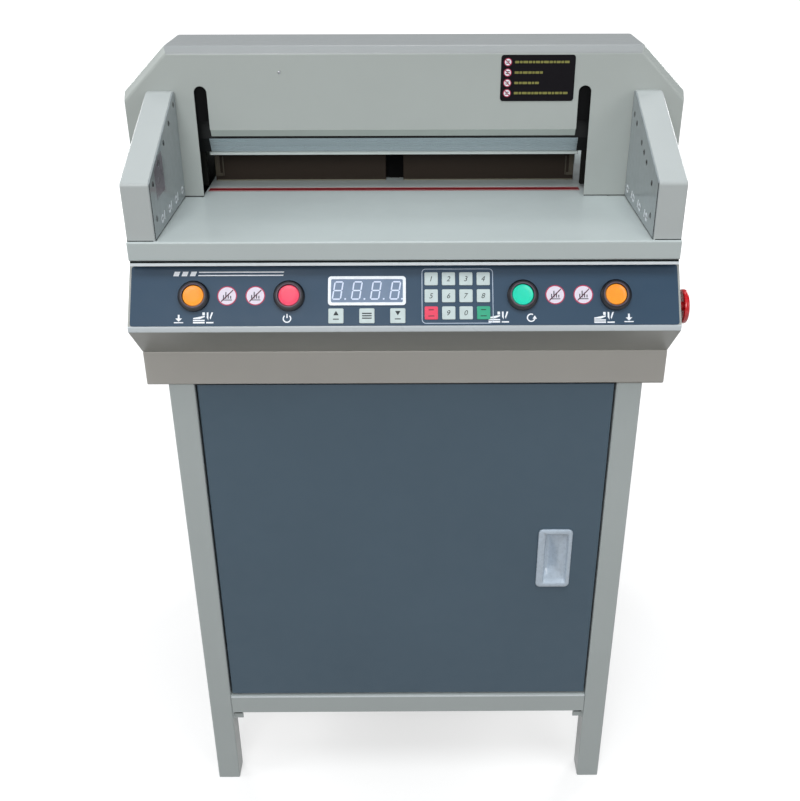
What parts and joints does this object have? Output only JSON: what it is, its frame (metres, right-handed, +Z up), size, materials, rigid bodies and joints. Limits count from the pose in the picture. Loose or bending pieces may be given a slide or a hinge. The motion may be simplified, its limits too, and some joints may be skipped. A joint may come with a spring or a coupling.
{
  "type": "electric paper cutter",
  "caption": "Electric paper cutter on a cabinet stand, with a flat table between side guards, a powered knife and clamp in a hooded head, a sloping control panel and a hinged door.",
  "frame": {"origin": "middle of the whole machine in width and depth, on the floor under the stand", "axes": "+X to the operator's right, +Y from the operator to the back, +Z up"},
  "size_m": [0.645, 0.7301, 1.0002],
  "materials": {
    "head_paint": "satin textured paint",
    "guard_paint": "satin textured paint",
    "body_paint": "satin textured paint",
    "table_paint": "smooth satin paint",
    "tray_paint": "satin paint",
    "leg_paint": "satin paint",
    "slate_paint": "fine textured paint",
    "sensor_plate": "satin",
    "frame_iron": "satin paint on cast iron",
    "dark_steel": "blackened",
    "bright_steel": "turned",
    "blade_steel": "ground",
    "knife_carrier": "machined",
    "clamp_metal": "satin",
    "gauge_metal": "satin",
    "motor_case": "cast",
    "stick_red": "matte",
    "black_plastic": "gloss",
    "overlay_film": "satin film",
    "display_white": "gloss",
    "button_orange": "translucent gloss",
    "button_red": "translucent gloss",
    "button_green": "translucent gloss",
    "key_grey": "satin film",
    "key_red": "satin film",
    "key_green": "satin film",
    "stop_red": "gloss",
    "stop_collar": "matte",
    "pull_plastic": "satin"
  },
  "bodies": {
    "machine": {"work_table": "table_paint", "cutting_stick": "stick_red", "rear_side_lays": "table_paint", "head_front_cover": "head_paint", "head_rear_cover": "head_paint", "side_guard_left": "guard_paint", "side_guard_right": "guard_paint", "sensor_plates": "sensor_plate", "machine_base": "body_paint", "bearing_posts": "frame_iron", "gauge_channel": "body_paint", "side_frame_left": "frame_iron", "side_frame_right": "frame_iron", "upper_beam": "frame_iron", "frame_fasteners": "dark_steel", "clamp_gearmotor": "motor_case", "gauge_gearmotor": "motor_case", "knife_gearmotor": "motor_case", "inlet_plate": "body_paint", "power_inlet": "black_plastic", "control_housing": "body_paint", "control_overlay": "overlay_film", "display_module": "display_white", "button_bezels": "black_plastic", "estop_collar": "stop_collar", "stand_legs": "leg_paint", "stand_top_tray": "tray_paint", "stand_bottom_shelf": "leg_paint", "cabinet_shell": "slate_paint", "door_hinge_pins": "bright_steel"},
    "door": {"cabinet_door": "slate_paint", "door_handle": "pull_plastic"},
    "knife": {"knife_beam": "knife_carrier", "knife_blade": "blade_steel"},
    "rocker": {"rocker_shaft": "dark_steel"},
    "clamp": {"clamp_beam": "clamp_metal"},
    "clamp_drive": {"clamp_screw": "bright_steel"},
    "gauge": {"back_gauge": "gauge_metal"},
    "gauge_drive": {"gauge_screw": "bright_steel"},
    "left_cut_button": {"cut_button_left": "button_orange"},
    "right_cut_button": {"cut_button_right": "button_orange"},
    "power_switch": {"power_button": "button_red"},
    "reset_switch": {"reset_button": "button_green"},
    "stop_plunger": {"estop_stem": "stop_collar"},
    "stop_head": {"estop_knob": "stop_red"},
    "key_1": {"pad_key_1": "key_grey"},
    "key_2": {"pad_key_2": "key_grey"},
    "key_3": {"pad_key_3": "key_grey"},
    "key_4": {"pad_key_4": "key_grey"},
    "key_5": {"pad_key_5": "key_grey"},
    "key_6": {"pad_key_6": "key_grey"},
    "key_7": {"pad_key_7": "key_grey"},
    "key_8": {"pad_key_8": "key_grey"},
    "key_clear": {"pad_key_clear": "key_red"},
    "key_9": {"pad_key_9": "key_grey"},
    "key_0": {"pad_key_0": "key_grey"},
    "key_enter": {"pad_key_enter": "key_green"},
    "key_up": {"pad_key_up": "key_grey"},
    "key_mode": {"pad_key_mode": "key_grey"},
    "key_down": {"pad_key_down": "key_grey"}
  },
  "joints": [
    {"name": "back_gauge_slide", "type": "slide", "parent": "machine", "child": "gauge", "axis": [0, 1, 0], "range_m": [0, 0.413]},
    {"name": "blade_slide", "type": "slide", "parent": "machine", "child": "knife", "axis": [0.2489, 0, -0.9685], "range_m": [0, 0.04822]},
    {"name": "cabinet_door_swing", "type": "hinge", "parent": "machine", "child": "door", "pos_m": [-0.2328, -0.312, 0.406], "axis": [0, 0, -1], "range_deg": [0, 105]},
    {"name": "clamp_slide", "type": "slide", "parent": "machine", "child": "clamp", "axis": [0, 0, -1], "range_m": [0, 0.0407]},
    {"name": "cut_button_left_press", "type": "slide", "parent": "machine", "child": "left_cut_button", "axis": [0, 0.8163, -0.5777], "range_m": [0, 0.0035], "stiffness_N_per_m": 600},
    {"name": "cut_button_right_press", "type": "slide", "parent": "machine", "child": "right_cut_button", "axis": [0, 0.8163, -0.5777], "range_m": [0, 0.0035], "stiffness_N_per_m": 600},
    {"name": "emergency_stop_push", "type": "slide", "parent": "machine", "child": "stop_plunger", "axis": [-1, 0, 0], "range_m": [0, 0.004]},
    {"name": "emergency_stop_twist", "type": "hinge", "parent": "stop_plunger", "child": "stop_head", "pos_m": [0.305, -0.336, 0.749], "axis": [1, 0, 0], "range_deg": [0, 45], "stiffness_Nm_per_rad": 0.05},
    {"name": "power_button_press", "type": "slide", "parent": "machine", "child": "power_switch", "axis": [0, 0.8163, -0.5777], "range_m": [0, 0.0035], "stiffness_N_per_m": 600},
    {"name": "reset_button_press", "type": "slide", "parent": "machine", "child": "reset_switch", "axis": [0, 0.8163, -0.5777], "range_m": [0, 0.0035], "stiffness_N_per_m": 600},
    {"name": "rocker_turn", "type": "hinge", "parent": "machine", "child": "rocker", "pos_m": [0, -0.12043, 0.741], "axis": [1, 0, 0], "range_deg": [0, 60.1]},
    {"name": "screw_turn_clamp", "type": "hinge", "parent": "machine", "child": "clamp_drive", "pos_m": [-0.0135, -0.128, 0.926], "axis": [0, 0, 1], "range_deg": [0, 1470]},
    {"name": "screw_turn_gauge", "type": "hinge", "parent": "machine", "child": "gauge_drive", "pos_m": [-0.0135, 0.061, 0.78], "axis": [0, -1, 0], "range_deg": [0, 14875]},
    {"name": "pad_key_1_press", "type": "slide", "parent": "machine", "child": "key_1", "axis": [0, 0.8163, -0.5777], "range_m": [0, 0.0005], "stiffness_N_per_m": 1500},
    {"name": "pad_key_2_press", "type": "slide", "parent": "machine", "child": "key_2", "axis": [0, 0.8163, -0.5777], "range_m": [0, 0.0005], "stiffness_N_per_m": 1500},
    {"name": "pad_key_3_press", "type": "slide", "parent": "machine", "child": "key_3", "axis": [0, 0.8163, -0.5777], "range_m": [0, 0.0005], "stiffness_N_per_m": 1500},
    {"name": "pad_key_4_press", "type": "slide", "parent": "machine", "child": "key_4", "axis": [0, 0.8163, -0.5777], "range_m": [0, 0.0005], "stiffness_N_per_m": 1500},
    {"name": "pad_key_5_press", "type": "slide", "parent": "machine", "child": "key_5", "axis": [0, 0.8163, -0.5777], "range_m": [0, 0.0005], "stiffness_N_per_m": 1500},
    {"name": "pad_key_6_press", "type": "slide", "parent": "machine", "child": "key_6", "axis": [0, 0.8163, -0.5777], "range_m": [0, 0.0005], "stiffness_N_per_m": 1500},
    {"name": "pad_key_7_press", "type": "slide", "parent": "machine", "child": "key_7", "axis": [0, 0.8163, -0.5777], "range_m": [0, 0.0005], "stiffness_N_per_m": 1500},
    {"name": "pad_key_8_press", "type": "slide", "parent": "machine", "child": "key_8", "axis": [0, 0.8163, -0.5777], "range_m": [0, 0.0005], "stiffness_N_per_m": 1500},
    {"name": "pad_key_clear_press", "type": "slide", "parent": "machine", "child": "key_clear", "axis": [0, 0.8163, -0.5777], "range_m": [0, 0.0005], "stiffness_N_per_m": 1500},
    {"name": "pad_key_9_press", "type": "slide", "parent": "machine", "child": "key_9", "axis": [0, 0.8163, -0.5777], "range_m": [0, 0.0005], "stiffness_N_per_m": 1500},
    {"name": "pad_key_0_press", "type": "slide", "parent": "machine", "child": "key_0", "axis": [0, 0.8163, -0.5777], "range_m": [0, 0.0005], "stiffness_N_per_m": 1500},
    {"name": "pad_key_enter_press", "type": "slide", "parent": "machine", "child": "key_enter", "axis": [0, 0.8163, -0.5777], "range_m": [0, 0.0005], "stiffness_N_per_m": 1500},
    {"name": "pad_key_up_press", "type": "slide", "parent": "machine", "child": "key_up", "axis": [0, 0.8163, -0.5777], "range_m": [0, 0.0005], "stiffness_N_per_m": 1500},
    {"name": "pad_key_mode_press", "type": "slide", "parent": "machine", "child": "key_mode", "axis": [0, 0.8163, -0.5777], "range_m": [0, 0.0005], "stiffness_N_per_m": 1500},
    {"name": "pad_key_down_press", "type": "slide", "parent": "machine", "child": "key_down", "axis": [0, 0.8163, -0.5777], "range_m": [0, 0.0005], "stiffness_N_per_m": 1500}
  ],
  "couplings": [
    {"joint": "rocker_turn", "follows": "blade_slide", "rad_per_m": 21.718},
    {"joint": "screw_turn_clamp", "follows": "clamp_slide", "rad_per_m": 628.32},
    {"joint": "screw_turn_gauge", "follows": "back_gauge_slide", "rad_per_m": 628.32}
  ]
}
